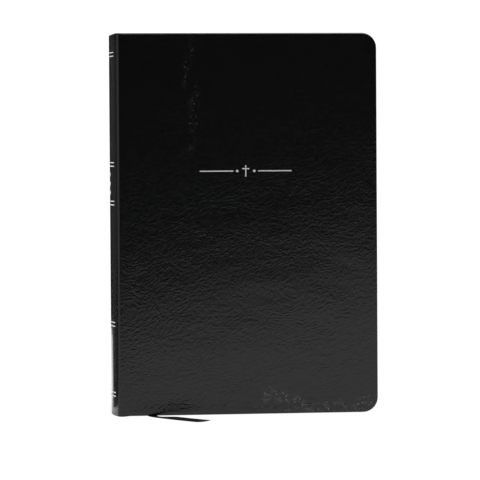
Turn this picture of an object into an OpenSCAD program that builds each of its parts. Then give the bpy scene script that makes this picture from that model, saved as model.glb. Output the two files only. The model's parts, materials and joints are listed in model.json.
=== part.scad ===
// A soft-cover bible that stands on its tail edge, spine to the left (-X), front cover to -Y.
// Origin: middle of the footprint, on the surface that the book stands on. +Z is up.

/* [Book] */
// Height of the covers
book_h = 244; // [200:1:280]
// Width from the outermost point of the spine to the fore-edge of the covers
book_w = 170; // [140:1:200]
// Thickness of the closed book
book_t = 40; // [34:1:48]
// Radius of the covers' two fore-edge corners
corner_r = 9.5; // [4:0.5:14]

/* [Leather cover] */
// Thickness of the leather
leather_t = 0.8; // [0.6:0.1:1.2]
// Thickness of the card stiffener inside each cover
board_t = 1; // [0.8:0.1:1.6]
// Thickness of the leather pared down for the turn-ins
turn_in_t = 0.3; // [0.2:0.1:0.5]
// Width of the leather turned in over the card
turn_in_w = 14; // [10:1:18]
// Thickness of the endpapers: the pastedown and the flyleaf
endpaper_t = 0.3; // [0.2:0.05:0.4]
// Height of the covers' tail edges above the surface, the way under them for the ribbon
tail_lift = 0.4; // [0.35:0.05:0.6]

/* [Spine] */
// Radius of the spine's gentle outward curve
spine_curve_r = 75; // [60:5:150]
// Radius where the spine rounds into the covers
shoulder_r = 3; // [2:0.5:4]
// Distance from the outermost point of the spine to the line where the covers hinge
hinge_inset = 8; // [7.5:0.1:9]
// Thickness of the card strip inside the spine leather
inlay_t = 0.8; // [0.5:0.1:1]
// Width of the card strip inside the spine leather
inlay_w = 28; // [20:1:32]

/* [Text block] */
// Depth of the page edges behind the covers' edges, at the head and the tail
square = 4; // [3:0.5:6]
// Width of one leaf
leaf_w = 157; // [120:1:158]
// Thickness of the middle group of leaves
middle_t = 3.6; // [2:0.2:6]
// Radius of the leaves' fore-edge corners
leaf_corner_r = 7; // [3:0.5:10]
// Step of each group of leaves towards the spine, which rounds the back of the block
round_step = 0.4; // [0.1:0.1:0.6]

/* [Ribbon] */
// Width of the ribbon marker
ribbon_w = 6; // [5:0.5:8]
// Thickness of the ribbon marker
ribbon_t = 0.25; // [0.2:0.01:0.28]
// Radius of the ribbon's bend where it meets the surface
ribbon_bend_r = 2.4; // [1.5:0.1:3]

/* [Foil] */
// Thickness of the foil, pressed on the leather
foil_t = 0.1; // [0.05:0.05:0.2]
// Height of each foil line across the spine
band_h = 0.6; // [0.4:0.1:1]
// Distance between the two lines of a pair
band_pitch = 2.3; // [1.5:0.1:4]
// Length of the foil lines across the spine
band_w = 27; // [20:1:29]
// Length of the ornament on the front cover
ornament_w = 59; // [40:1:80]
// Height of the ornament on the front cover
ornament_h = 7.3; // [5:0.1:12]

/* [Hidden] */

$fn = 96;
leather_c = "#1c1b1c";
card_c = "#8d857a";
paper_c = "#efe9da";
endpaper_c = "#d9d2c2";
silver_c = "#c9c9cc";
cloth_c = "#e6e0d2";
ribbon_c = "#111113";

// Where the covers hinge
hinge_x = hinge_inset - book_w / 2;
fore_x = book_w / 2;
// Middle of the spine's wide arc, and the middle of a shoulder arc counted from there, tangent to it
spine_centre_x = spine_curve_r - book_w / 2;
shoulder_y = book_t / 2 - shoulder_r;
shoulder_c = [-sqrt(pow(spine_curve_r - shoulder_r, 2) - pow(shoulder_y, 2)), shoulder_y];
// Gap between the hinge line and the leather on either side of it
hinge_gap = 0.4;
cover_x = hinge_x + hinge_gap;
// Where the card inside a cover starts, past the soft joint
board_x = cover_x + 2.5;
// Depths into a cover from its outer face
board_d = leather_t;
turn_in_d = leather_t + board_t;
pastedown_d = turn_in_d + turn_in_t;
cover_t = pastedown_d + endpaper_t;
// How far the pastedown stays back from the covers' edges
pastedown_margin = 5;
// Air between papers, and between a card and its pocket
air = 0.1;
paper_air = 0.2;

// The text block. Each group of leaves turns about its cover's hinge line.
leaf_groups = 4;
flyleaf_d = cover_t + paper_air;
block_d = flyleaf_d + endpaper_t + paper_air;
// Room for the ribbon beside the middle leaves
ribbon_room = 0.4;
half_block = book_t / 2 - block_d;
groups_depth = half_block - middle_t / 2 - ribbon_room;
group_t = (groups_depth - (leaf_groups - 1) * air) / leaf_groups;
leaf_z0 = square;
leaf_z1 = book_h - square;
// The leaves' back edges: the middle leaves reach furthest into the spine
middle_back_x = hinge_x - 0.2;
group_back_x = hinge_x + 0.3;

// Layers glued to the back of the block
mull_t = 0.45;
lining_t = 0.55;
mull_x = middle_back_x - 0.05 - mull_t;
lining_x = mull_x - 0.05 - lining_t;
mull_margin = 14;
lining_margin = 20;
lining_w = 2 * half_block - 0.4;
thread_r = 0.15;
thread_count = 7;
band_tape_t = 0.4;
band_bead_r = 1;
band_tape_h = 14;

// The ribbon hangs between the front leaves and the middle leaves, and comes out under the front cover
ribbon_x = -60.5;
ribbon_y = -middle_t / 2 - 0.05 - ribbon_t;
ribbon_z = 0.02;
ribbon_out_y = -19;
// Points along the middle of the ribbon's free end, on the surface
ribbon_route = [
    [-60.5, -19], [-60, -22], [-58.9, -25.2], [-57.3, -28.6], [-55.5, -32], [-53.6, -35.6], [-51.6, -39.2],
    [-49.5, -42.9], [-47.3, -46.6], [-45.1, -50.3], [-42.8, -54], [-40.5, -57.6], [-38.2, -61],
    [-35.9, -64.2], [-33.5, -67.2]
];

// Heights of the middles of the paired foil lines
band_z = [13.9, 58.6, 136, 160.7, 230.8];
// Foil diamonds between the third and fourth pairs
diamond_z = [142.5, 148.5, 154.5];
diamond_r = 1.6;
// Middle of the ornament on the front cover
ornament_x = 0;
ornament_z = 156;
foil_line = 0.7;

// Direction of the ribbon's route at point i, squared up with the exit at its start
function along(p, i) =
    i == 0 ? [0, -1]
    : let (d = p[min(i + 1, len(p) - 1)] - p[i - 1]) d / norm(d);
function across(t) = [-t.y, t.x];

// A leaf or cover outline in X and Z: square at the spine side, two round corners at the fore-edge
module leaf_outline(x0, x1, z0, z1, r) {
    translate([x0, z0]) square([x1 - x0 - r, z1 - z0]);
    translate([x0, z0 + r]) square([x1 - x0, z1 - z0 - 2 * r]);
    for (z = [z0 + r, z1 - r]) translate([x1 - r, z]) circle(r);
}

// The same outline as a sheet from depth d0 to depth d1, counted from the front cover's outer face
module front_sheet(x0, x1, z0, z1, r, d0, d1) {
    translate([0, d1 - book_t / 2, 0]) rotate([90, 0, 0])
        linear_extrude(d1 - d0) leaf_outline(x0, x1, z0, z1, r);
}

// Anything of the front half, or its mirror image in the back half
module half(back) {
    if (back) mirror([0, 1, 0]) children();
    else children();
}

// Cross-section of the spine, inset by i from its outer face: one wide arc between two shoulder arcs
module spine_section(i) {
    translate([spine_centre_x, 0]) {
        intersection() {
            circle(spine_curve_r - i, $fn = 240);
            polygon([[0, 0], 1.2 * shoulder_c, [1.2 * shoulder_c.x, -1.2 * shoulder_c.y]]);
        }
        for (s = [-1, 1]) {
            translate([shoulder_c.x, s * shoulder_c.y]) circle(shoulder_r - i);
            polygon([[0, 0], [shoulder_c.x, s * shoulder_c.y],
                [shoulder_c.x, s * (book_t / 2 - i)], [0, s * (book_t / 2 - i)]]);
        }
    }
}

// A layer of the spine between insets i0 and i1, width w across, from z0 to z1
module spine_layer(i0, i1, w, z0, z1) {
    translate([0, 0, z0]) linear_extrude(z1 - z0) intersection() {
        difference() {
            spine_section(i0);
            spine_section(i1);
        }
        translate([-book_w / 2 - 1, -w / 2]) square([hinge_inset + 1 - hinge_gap / 2, w]);
    }
}

module spine_leather() {
    turn_in = leather_t + inlay_t;
    color(leather_c) {
        spine_layer(0, leather_t, book_t, 0, book_h);
        for (z = [0, book_h - leather_t])
            spine_layer(leather_t, turn_in + turn_in_t, inlay_w, z, z + leather_t);
        for (z = [leather_t, book_h - turn_in_w])
            spine_layer(turn_in, turn_in + turn_in_t, inlay_w, z, z + turn_in_w - leather_t);
    }
}

module spine_inlay() {
    color(card_c) spine_layer(leather_t, leather_t + inlay_t, inlay_w, leather_t, book_h - leather_t);
}

module spine_foil_bands() {
    color(silver_c) for (z = band_z, s = [-1, 1])
        spine_layer(-foil_t, 0, band_w, z + s * band_pitch / 2 - band_h / 2,
            z + s * band_pitch / 2 + band_h / 2);
}

module spine_foil_diamonds() {
    color(silver_c) intersection() {
        spine_layer(-foil_t, 0, band_w, diamond_z[0] - 3, diamond_z[2] + 3);
        for (z = diamond_z) translate([-book_w / 2, 0, z]) rotate([45, 0, 0])
            cube([4, diamond_r * sqrt(2), diamond_r * sqrt(2)], center = true);
    }
}

module spine_lining() {
    color(paper_c) translate([lining_x, -lining_w / 2, lining_margin])
        cube([lining_t, lining_w, book_h - 2 * lining_margin]);
}

// Places the sewing threads up the back of the block
module at_threads() {
    first = mull_margin + 8;
    step = (book_h - 2 * first) / (thread_count - 1);
    for (i = [0 : thread_count - 1]) translate([mull_x + mull_t / 2, 0, first + i * step])
        rotate([90, 0, 0]) children();
}

module mull_cloth() {
    color(cloth_c) difference() {
        translate([mull_x, -lining_w / 2, mull_margin])
            cube([mull_t, lining_w, book_h - 2 * mull_margin]);
        at_threads() cylinder(h = lining_w + 1, r = thread_r + 0.02, center = true);
    }
}

module sewing_threads() {
    color("white") at_threads() cylinder(h = lining_w - 1, r = thread_r, center = true);
}

// A woven band at one end of the block's back: a tape with a bead along the page edges
module end_band(at_head) {
    z = at_head ? leaf_z1 : leaf_z0;
    up = at_head ? 1 : -1;
    tape_z = at_head ? leaf_z1 - band_tape_h : leaf_z0;
    tape_x = mull_x - band_tape_t - 0.05;
    translate([tape_x, -lining_w / 2, tape_z]) cube([band_tape_t, lining_w, band_tape_h]);
    translate([tape_x + band_tape_t / 2, 0, z + up * band_bead_r * 0.9]) rotate([90, 0, 0])
        cylinder(h = lining_w, r = band_bead_r, center = true);
}

module headband() {
    color(cloth_c) end_band(true);
}

module tailband() {
    color(cloth_c) end_band(false);
}

module ribbon_marker() {
    x0 = ribbon_x - ribbon_w / 2;
    bend_z = ribbon_z + ribbon_t + ribbon_bend_r;
    bend_y = ribbon_y - ribbon_bend_r;
    color(ribbon_c) {
        translate([x0, ribbon_y, bend_z]) cube([ribbon_w, ribbon_t, leaf_z1 - 1 - bend_z]);
        translate([x0, bend_y, bend_z]) rotate([0, 90, 0]) rotate_extrude(angle = 90)
            translate([ribbon_bend_r, 0]) square([ribbon_t, ribbon_w]);
        translate([x0, ribbon_out_y, ribbon_z]) cube([ribbon_w, bend_y - ribbon_out_y, ribbon_t]);
    }
}

module ribbon_end() {
    n = len(ribbon_route);
    corners = [for (i = [0 : n - 1])
        let (p = ribbon_route[i], s = across(along(ribbon_route, i)) * ribbon_w / 2)
        for (c = [[-1, 0], [1, 0], [1, 1], [-1, 1]])
            [p.x + c[0] * s.x, p.y + c[0] * s.y, ribbon_z + c[1] * ribbon_t]];
    sides = [for (i = [0 : n - 2], k = [0 : 3])
        [4 * i + k, 4 * i + (k + 1) % 4, 4 * i + 4 + (k + 1) % 4, 4 * i + 4 + k]];
    start = [[3, 2, 1, 0]];
    tip = [[for (k = [0 : 3]) 4 * n - 4 + k]];
    color(ribbon_c) polyhedron(concat(corners), concat(sides, start, tip));
}

module middle_leaves() {
    front_y = book_t / 2 - middle_t / 2;
    color(paper_c) front_sheet(middle_back_x, middle_back_x + leaf_w, leaf_z0, leaf_z1,
        leaf_corner_r, front_y, front_y + middle_t);
}

// Group k of the leaves between a cover and the middle: 1 is next to the flyleaf
module leaf_group(k) {
    back_x = group_back_x + (leaf_groups - k) * round_step;
    d = block_d + (k - 1) * (group_t + air);
    color(paper_c)
        front_sheet(back_x, back_x + leaf_w, leaf_z0, leaf_z1, leaf_corner_r, d, d + group_t);
}

module flyleaf() {
    back_x = group_back_x + leaf_groups * round_step;
    color(endpaper_c) front_sheet(back_x, back_x + leaf_w, leaf_z0, leaf_z1, leaf_corner_r,
        flyleaf_d, flyleaf_d + endpaper_t);
}

// A cover's leather: outer face, wrapped edges and turn-ins, open towards the hinge
module cover_leather() {
    open_x = cover_x - 1;
    color(leather_c) difference() {
        front_sheet(cover_x, fore_x, tail_lift, book_h, corner_r, 0, pastedown_d);
        front_sheet(open_x, fore_x - leather_t, tail_lift + leather_t, book_h - leather_t,
            corner_r - leather_t, board_d, turn_in_d);
        front_sheet(open_x, fore_x - turn_in_w, turn_in_w, book_h - turn_in_w, 2,
            turn_in_d - 0.1, pastedown_d + 1);
    }
}

module cover_board() {
    edge = leather_t + 0.05;
    color(card_c) front_sheet(board_x, fore_x - edge, tail_lift + edge, book_h - edge,
        corner_r - edge, board_d, turn_in_d);
}

module pastedown() {
    inner = turn_in_w + 0.2;
    color(endpaper_c) {
        front_sheet(board_x, fore_x - inner, inner, book_h - inner, 2, turn_in_d, pastedown_d);
        front_sheet(board_x, fore_x - pastedown_margin, pastedown_margin,
            book_h - pastedown_margin, corner_r - 3, pastedown_d, cover_t);
    }
}

// A bar of foil on the front cover, centred at x, z
module foil_bar(x, z, w, h) {
    translate([x - w / 2, -book_t / 2 - foil_t, z - h / 2]) cube([w, foil_t, h]);
}

// Two fine rules with a small plain cross between them
module front_foil_ornament() {
    cross_w = ornament_h * 0.62;
    rule_w = ornament_w / 2 - 8;
    color(silver_c) {
        foil_bar(ornament_x, ornament_z, foil_line, ornament_h);
        foil_bar(ornament_x, ornament_z + ornament_h / 5, cross_w, foil_line);
        for (s = [-1, 1]) {
            foil_bar(ornament_x + s * (8 + rule_w / 2), ornament_z, rule_w, foil_line);
            translate([ornament_x + s * 5.5, -book_t / 2 - foil_t / 2, ornament_z])
                rotate([0, 45, 0]) cube([1.4, foil_t, 1.4], center = true);
        }
    }
}

spine_leather();
spine_inlay();
spine_foil_bands();
spine_foil_diamonds();
spine_lining();
mull_cloth();
sewing_threads();
headband();
tailband();
ribbon_marker();
ribbon_end();
middle_leaves();
half(false) cover_leather();  // front_cover_leather
half(false) cover_board();  // front_cover_board
half(false) pastedown();  // front_pastedown
front_foil_ornament();
half(false) flyleaf();  // front_flyleaf
half(false) leaf_group(1);  // front_leaves_1
half(false) leaf_group(2);  // front_leaves_2
half(false) leaf_group(3);  // front_leaves_3
half(false) leaf_group(4);  // front_leaves_4
half(true) cover_leather();  // back_cover_leather
half(true) cover_board();  // back_cover_board
half(true) pastedown();  // back_pastedown
half(true) flyleaf();  // back_flyleaf
half(true) leaf_group(1);  // back_leaves_1
half(true) leaf_group(2);  // back_leaves_2
half(true) leaf_group(3);  // back_leaves_3
half(true) leaf_group(4);  // back_leaves_4
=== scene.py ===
# %% [markdown]
# # A soft-cover bible, standing on its tail edge
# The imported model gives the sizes, the places and the hinges. This script gives the book its looks: grained
# black leather, silver foil, gilded page edges, bible paper, wound end bands and a satin ribbon marker.
# It is a lesson in cells, and each step says what the piece is on a real book before it is made.

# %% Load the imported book
import json
import math

import bmesh
import bpy
import numpy as np
from mathutils import Matrix, Vector, noise


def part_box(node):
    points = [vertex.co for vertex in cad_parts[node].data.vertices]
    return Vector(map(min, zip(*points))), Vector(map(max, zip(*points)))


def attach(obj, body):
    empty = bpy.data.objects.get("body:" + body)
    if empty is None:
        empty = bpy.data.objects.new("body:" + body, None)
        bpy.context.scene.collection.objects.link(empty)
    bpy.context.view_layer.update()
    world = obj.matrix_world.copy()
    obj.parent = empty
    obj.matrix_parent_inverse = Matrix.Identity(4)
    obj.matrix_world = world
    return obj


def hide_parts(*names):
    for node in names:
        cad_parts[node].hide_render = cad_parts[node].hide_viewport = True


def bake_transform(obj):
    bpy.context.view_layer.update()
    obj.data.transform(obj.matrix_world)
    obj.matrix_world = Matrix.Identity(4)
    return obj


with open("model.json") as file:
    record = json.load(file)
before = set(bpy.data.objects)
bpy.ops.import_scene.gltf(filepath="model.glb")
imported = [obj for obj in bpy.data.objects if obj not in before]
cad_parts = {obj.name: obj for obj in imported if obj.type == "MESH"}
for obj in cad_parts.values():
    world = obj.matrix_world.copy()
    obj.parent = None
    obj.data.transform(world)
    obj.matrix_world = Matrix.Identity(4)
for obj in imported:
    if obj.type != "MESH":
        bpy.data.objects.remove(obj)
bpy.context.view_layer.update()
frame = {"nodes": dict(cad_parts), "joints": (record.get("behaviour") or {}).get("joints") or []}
MM = 0.001

# %% [markdown]
# ## Sizes
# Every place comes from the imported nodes. The book stands on the floor with its spine at -X, its front cover
# towards -Y and its page edges at +X. The two hinge lines run up the joints beside the spine.

# %% Read the book's own sizes
cover_lo, cover_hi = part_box("front_cover_leather")
spine_lo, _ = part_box("spine_leather")
pastedown_lo, pastedown_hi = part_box("front_pastedown")
flyleaf_lo, flyleaf_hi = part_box("front_flyleaf")
SPINE_X = spine_lo.x
FORE_X = cover_hi.x
HALF_T = -cover_lo.y
BOOK_H = cover_hi.z
TAIL_Z = cover_lo.z
HINGE_X = next(j["pos_m"][0] for j in frame["joints"] if j["name"] == "front_cover_hinge")
CORNER_R = 9.5 * MM
SHOULDER_R = 3 * MM
SPINE_CURVE_R = 75 * MM
LEATHER_T = 0.8 * MM
COVER_T = cover_hi.y - cover_lo.y
TURN_IN_T = 0.3 * MM
TURN_IN_W = 14 * MM
print("hinge at", round(HINGE_X / MM, 2), "mm, cover", round(COVER_T / MM, 2), "mm thick")

# %% [markdown]
# ## The camera
# The camera looks a little down on the book from the front left, from about two metres with a long lens,
# so that the cover's edges stay nearly parallel and a narrow strip of the spine shows.

# %% Place the camera
AZIMUTH = math.radians(-7.5)
ELEVATION = math.radians(1.8)
ROLL = math.radians(-0.36)
DISTANCE = 1.968
AIM = Vector((-1.35, 0, 111.3)) * MM
LENS_MM = 228.75
SENSOR_MM = 36
FARTHEST_SEEN = 50

towards = Vector(
    (
        math.sin(AZIMUTH) * math.cos(ELEVATION),
        -math.cos(AZIMUTH) * math.cos(ELEVATION),
        math.sin(ELEVATION),
    )
)
level = Vector((math.cos(AZIMUTH), math.sin(AZIMUTH), 0))
up = towards.cross(level)
right = level * math.cos(ROLL) + up * math.sin(ROLL)
up = towards.cross(right)
camera_data = bpy.data.cameras.new("camera")
camera_data.lens = LENS_MM
camera_data.sensor_width = SENSOR_MM
camera_data.clip_end = FARTHEST_SEEN
camera = bpy.data.objects.new("camera", camera_data)
facing = Matrix((right, up, towards)).transposed().to_4x4()
camera.matrix_world = Matrix.Translation(AIM + towards * DISTANCE) @ facing
bpy.context.collection.objects.link(camera)
bpy.context.scene.camera = camera
print("camera at", [round(v, 3) for v in camera.matrix_world.translation])

# %% [markdown]
# ## Colours and nodes
# Colours are written as the hex values that a screen shows, and one function makes them linear. Another adds
# a node, sets its sockets and links what it is given, so each material reads as a recipe. Most finishes end
# alike: a pattern runs the colour from a dark tone to a light one, and may dent the surface as well.

# %% Helpers for materials
def linear(hex_colour):
    """Screen hex, such as '#1c1b1c', as linear red, green, blue and alpha."""
    parts = [int(hex_colour[i : i + 2], 16) / 255 for i in (1, 3, 5)]
    return tuple(p / 12.92 if p <= 0.04045 else ((p + 0.055) / 1.055) ** 2.4 for p in parts) + (1.0,)


def add(tree, kind, inputs=None, **settings):
    """Adds a node. inputs maps a socket's name or number to a value, another node or one of its outputs."""
    node = tree.nodes.new(kind)
    for name, value in settings.items():
        setattr(node, name, value)
    for key, value in (inputs or {}).items():
        if isinstance(value, bpy.types.Node):
            value = value.outputs[0]
        if isinstance(value, bpy.types.NodeSocket):
            tree.links.new(value, node.inputs[key])
        else:
            node.inputs[key].default_value = value
    return node


def new_material(name, colour, roughness, **shader):
    """A material with one Principled shader, whose plain values sit on its own sockets."""
    material = bpy.data.materials.new(name)
    material.use_nodes = True
    tree = material.node_tree
    surface = tree.nodes["Principled BSDF"]
    surface.inputs["Base Color"].default_value = linear(colour)
    surface.inputs["Roughness"].default_value = roughness
    for socket, value in shader.items():
        surface.inputs[socket.replace("_", " ")].default_value = value
    material.diffuse_color = linear(colour)
    return material, tree, surface


def per_mm(size_mm):
    """Texture scale that gives one cell every size_mm millimetres, on coordinates in metres."""
    return 1000.0 / size_mm


def speckle(at, size_mm, detail, roughness=0.5):
    """Sockets of a Noise Texture node whose largest specks are about size_mm across."""
    return {"Vector": at, "Scale": per_mm(size_mm), "Detail": detail, "Roughness": roughness}


def span(value, low, high, least, most):
    """Sockets of a Map Range node that turns low to high into least to most."""
    return {"Value": value, "From Min": low, "From Max": high, "To Min": least, "To Max": most}


def show_pattern(tree, surface, pattern, dark, light, strength=0.0, depth_mm=0.05):
    """Colours a surface from dark to light as the pattern rises. A strength above 0 dents it too."""
    tones = {"Factor": pattern, 6: linear(dark), 7: linear(light)}
    mixed = add(tree, "ShaderNodeMix", tones, data_type="RGBA")
    tree.links.new(mixed.outputs[2], surface.inputs["Base Color"])
    if strength > 0:
        relief = {"Height": pattern, "Strength": strength, "Distance": depth_mm * MM}
        tree.links.new(add(tree, "ShaderNodeBump", relief).outputs[0], surface.inputs["Normal"])


print("a pattern of 2 mm cells has scale", per_mm(2))

# %% [markdown]
# ## The studio
# A black book against white needs two things. The floor round it is pale and well lit, so that it shines back
# from the lower part of the cover. In front of the book the studio is dark, so that the upper part of the
# leather stays black. A soft light at the left picks out the shoulder of the spine.

# %% Hang the lights
LIGHTS = [
    # name, place, size, power, colour
    ("overhead softbox", (0.4, -0.9, 3.0), 2.0, 165, (1.0, 1.0, 1.0)),
    ("left softbox", (-1.9, -0.75, 1.0), 2.8, 26, (1.0, 0.99, 0.98)),
    ("right softbox", (2.2, 0.9, 0.9), 0.9, 12, (0.98, 0.99, 1.0)),
    ("rear softbox", (1.2, 2.6, 1.3), 1.2, 14, (1.0, 1.0, 1.0)),
]


def pointed_at(place, aim):
    """Rotation that turns a light's -Z axis from place towards aim."""
    return (Vector(aim) - Vector(place)).to_track_quat("-Z", "Y").to_euler()


for name, place, size, power, tint in LIGHTS:
    data = bpy.data.lights.new(name, "AREA")
    data.shape = "SQUARE"
    data.size = size
    data.energy = power
    data.color = tint
    lamp = bpy.data.objects.new(name, data)
    lamp.location = place
    lamp.rotation_euler = pointed_at(place, (0, 0, BOOK_H / 2))
    bpy.context.collection.objects.link(lamp)
print("lights:", len(LIGHTS))

# %% [markdown]
# The backdrop is clean white, as in a catalogue, but a white room would fill the leather with reflections. A
# Light Path node parts the two: the camera's own rays meet a white sky and a floor mixed with white, and all
# other rays meet a plain pale floor and an almost dark sky. A grey card stands behind the spine and keeps the
# floor out of its shine. Only reflections see the card, so it throws no shadow on an opened cover.

# %% Lay the floor and set up the sky and the card
FLOOR_R = 1.35
FLOOR_AT = (0.45, -0.25, 0)
FLOOR_WHITE, WHITE_SHARE = 1.02, 0.93
SKY_WHITE, SKY_DARK = 1.05, 0.03
CARD_LEFT, CARD_RIGHT, CARD_Y, CARD_H = -0.6, -0.1, 0.05, 0.6
WHITE = (1, 1, 1, 1)


def for_camera(tree, plain, seen, share=1.0):
    """A shader that all rays meet as plain, with a share of another mixed in for the camera's own rays."""
    ray = add(tree, "ShaderNodeLightPath").outputs["Is Camera Ray"]
    part = add(tree, "ShaderNodeMath", {0: ray, 1: share}, operation="MULTIPLY")
    return add(tree, "ShaderNodeMixShader", {0: part, 1: plain, 2: seen})


card_mesh = bpy.data.meshes.new("grey_card")
card_corners = [(CARD_LEFT, 0), (CARD_RIGHT, 0), (CARD_RIGHT, CARD_H), (CARD_LEFT, CARD_H)]
card_mesh.from_pydata([(x, CARD_Y, z) for x, z in card_corners], [], [(0, 1, 2, 3)])
card_mesh.materials.append(new_material("studio_grey_card", "#4a4a4a", 0.95)[0])
grey_card = bpy.data.objects.new("grey_card", card_mesh)
grey_card.visible_camera = False
grey_card.visible_diffuse = False
grey_card.visible_shadow = False
bpy.context.collection.objects.link(grey_card)

bpy.ops.mesh.primitive_circle_add(vertices=128, radius=FLOOR_R, fill_type="NGON", location=FLOOR_AT)
floor = bpy.context.object
floor.name = "floor"
floor_paper, tree, surface = new_material("studio_floor", "#f4f4f4", 0.95)
glow = add(tree, "ShaderNodeEmission", {"Color": WHITE, "Strength": FLOOR_WHITE})
lifted = for_camera(tree, surface, glow, WHITE_SHARE)
tree.links.new(lifted.outputs[0], tree.nodes["Material Output"].inputs["Surface"])
floor.data.materials.append(floor_paper)

world = bpy.data.worlds.new("studio")
world.use_nodes = True
sky = world.node_tree
sky.nodes.clear()
pale = add(sky, "ShaderNodeBackground", {"Color": WHITE, "Strength": SKY_WHITE})
dim = add(sky, "ShaderNodeBackground", {"Color": WHITE, "Strength": SKY_DARK})
add(sky, "ShaderNodeOutputWorld", {"Surface": for_camera(sky, dim, pale)})
bpy.context.scene.world = world
bpy.context.scene.view_settings.view_transform = "Standard"
print("floor radius", FLOOR_R, "m")

# %% [markdown]
# ## Leather
# The cover is black leather, or a leather-look cloth that copies it: dyed through, embossed with a fine grain
# and finished with a thin semi-gloss coat. The eye sees pebbles under a millimetre across, short wavy creases
# that run mostly across the cover, and a soft shine that changes with them. The pebbles are drawn about twice
# their real size, so that they still show from two metres. The cover is also twisted by a hair: a relief of
# width times height, with its flat point at half the height, slants the shine as that would.

# %% Emboss the grain
LEATHER_BLACK = "#060607"
PORE_MM, PEBBLE_MM = 1.1, 1.5
FOLD_WIDE_MM, FOLD_LONG_MM = 1.7, 3.6
PORE_DEPTH, PEBBLE_DEPTH, FOLD_DEPTH = 0.005 * MM, 0.014 * MM, 0.038 * MM
FOLD_TURN = math.radians(20)
WANDER_MM, WANDER_BY = 26, 22 * MM
PATCH_MM = 60
CREASE_GAIN = 2.4
TWIST = 0.13
POLISHED, DULL = 0.13, 0.18

leather, tree, surface = new_material("black_grained_leather", LEATHER_BLACK, 0.15, Specular_IOR_Level=0.27)
place = add(tree, "ShaderNodeTexCoord").outputs["Object"]
# The grain wanders: a slow noise moves the folds and the pebbles sideways.
drift = add(tree, "ShaderNodeTexNoise", speckle(place, WANDER_MM, 3.0))
centring = {0: drift.outputs["Color"], 1: (-0.5, -0.5, -0.5)}
centred = add(tree, "ShaderNodeVectorMath", centring, operation="ADD")
wandering = {0: centred, 1: (WANDER_BY, WANDER_BY, WANDER_BY), 2: place}
warped = add(tree, "ShaderNodeVectorMath", wandering, operation="MULTIPLY_ADD")
turned = add(tree, "ShaderNodeMapping", {"Vector": warped, "Rotation": (0, FOLD_TURN, 0)})
fold_cell = (1 / FOLD_LONG_MM, 1 / FOLD_WIDE_MM, 1 / FOLD_WIDE_MM)
stretched = add(tree, "ShaderNodeMapping", {"Vector": turned, "Scale": fold_cell})
fold_cells = {"Vector": stretched, "Scale": per_mm(1), "Smoothness": 0.45}
folds = add(tree, "ShaderNodeTexVoronoi", fold_cells, feature="SMOOTH_F1")
pebble_cells = {"Vector": warped, "Scale": per_mm(PEBBLE_MM), "Smoothness": 0.5}
pebbles = add(tree, "ShaderNodeTexVoronoi", pebble_cells, feature="SMOOTH_F1")
pores = add(tree, "ShaderNodeTexNoise", speckle(place, PORE_MM, 3.0, 0.55))
# Folds are deeper in some patches, and deepest where an attribute on the piece says that it is creased.
patches = add(tree, "ShaderNodeTexNoise", speckle(place, PATCH_MM, 2.0))
fold_share = add(tree, "ShaderNodeMapRange", span(patches, 0.35, 0.62, 0.6, 1.0))
creased = add(tree, "ShaderNodeAttribute", attribute_name="creased")
creasing = {0: creased.outputs["Fac"], 1: CREASE_GAIN, 2: fold_share}
fold_gain = add(tree, "ShaderNodeMath", creasing, operation="MULTIPLY_ADD")
fold_height = add(tree, "ShaderNodeMath", {0: folds, 1: fold_gain}, operation="MULTIPLY")
axes = add(tree, "ShaderNodeSeparateXYZ", {0: place})
above_middle = add(tree, "ShaderNodeMath", {0: axes.outputs[2], 1: -BOOK_H / 2}, operation="ADD")
twist = add(tree, "ShaderNodeMath", {0: axes, 1: above_middle}, operation="MULTIPLY")
relief = add(tree, "ShaderNodeBump", {"Height": twist, "Strength": 1.0, "Distance": TWIST})
for height, depth, sunk in (
    (pores, PORE_DEPTH, False),
    (pebbles, PEBBLE_DEPTH, True),
    (fold_height, FOLD_DEPTH, True),
):
    below = {"Height": height, "Strength": 1.0, "Distance": depth, "Normal": relief}
    relief = add(tree, "ShaderNodeBump", below, invert=sunk)
tree.links.new(relief.outputs[0], surface.inputs["Normal"])
print("leather: pebbles", PEBBLE_MM, "mm, folds", FOLD_WIDE_MM, "by", FOLD_LONG_MM, "mm")

# %% [markdown]
# Where the finish is scuffed it turns dusty grey and loses its shine. An attribute painted on the cover says
# where, and noise breaks it up into a thin haze and a few bright specks. Elsewhere the tops of the grain are
# polished and its valleys are a little duller.

# %% Scuff the finish
SCUFF_GREY = "#77767a"
SCUFF_HAZE_MM, SCUFF_SPECK_MM = 5, 1.3
SCUFF_DULLING = 0.3

rubbed = add(tree, "ShaderNodeAttribute", attribute_name="rubbed")
haze = add(tree, "ShaderNodeTexNoise", speckle(warped, SCUFF_HAZE_MM, 6.0, 0.7))
haze_mask = add(tree, "ShaderNodeMapRange", span(haze, 0.5, 0.8, 0.0, 0.6))
specks = add(tree, "ShaderNodeTexNoise", speckle(place, SCUFF_SPECK_MM, 2.0))
speck_mask = add(tree, "ShaderNodeMapRange", span(specks, 0.65, 0.73, 0.0, 1.5))
either = add(tree, "ShaderNodeMath", {0: haze_mask, 1: speck_mask}, operation="ADD")
dusty = add(tree, "ShaderNodeMath", {0: either, 1: rubbed.outputs["Fac"]}, operation="MULTIPLY")
show_pattern(tree, surface, dusty, LEATHER_BLACK, SCUFF_GREY)
shine = add(tree, "ShaderNodeMapRange", span(folds, 0.2, 0.75, POLISHED, DULL))
dulling = {0: dusty, 1: SCUFF_DULLING, 2: shine}
dulled = add(tree, "ShaderNodeMath", dulling, operation="MULTIPLY_ADD")
tree.links.new(dulled.outputs[0], surface.inputs["Roughness"])
print("leather nodes:", len(tree.nodes))

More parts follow.
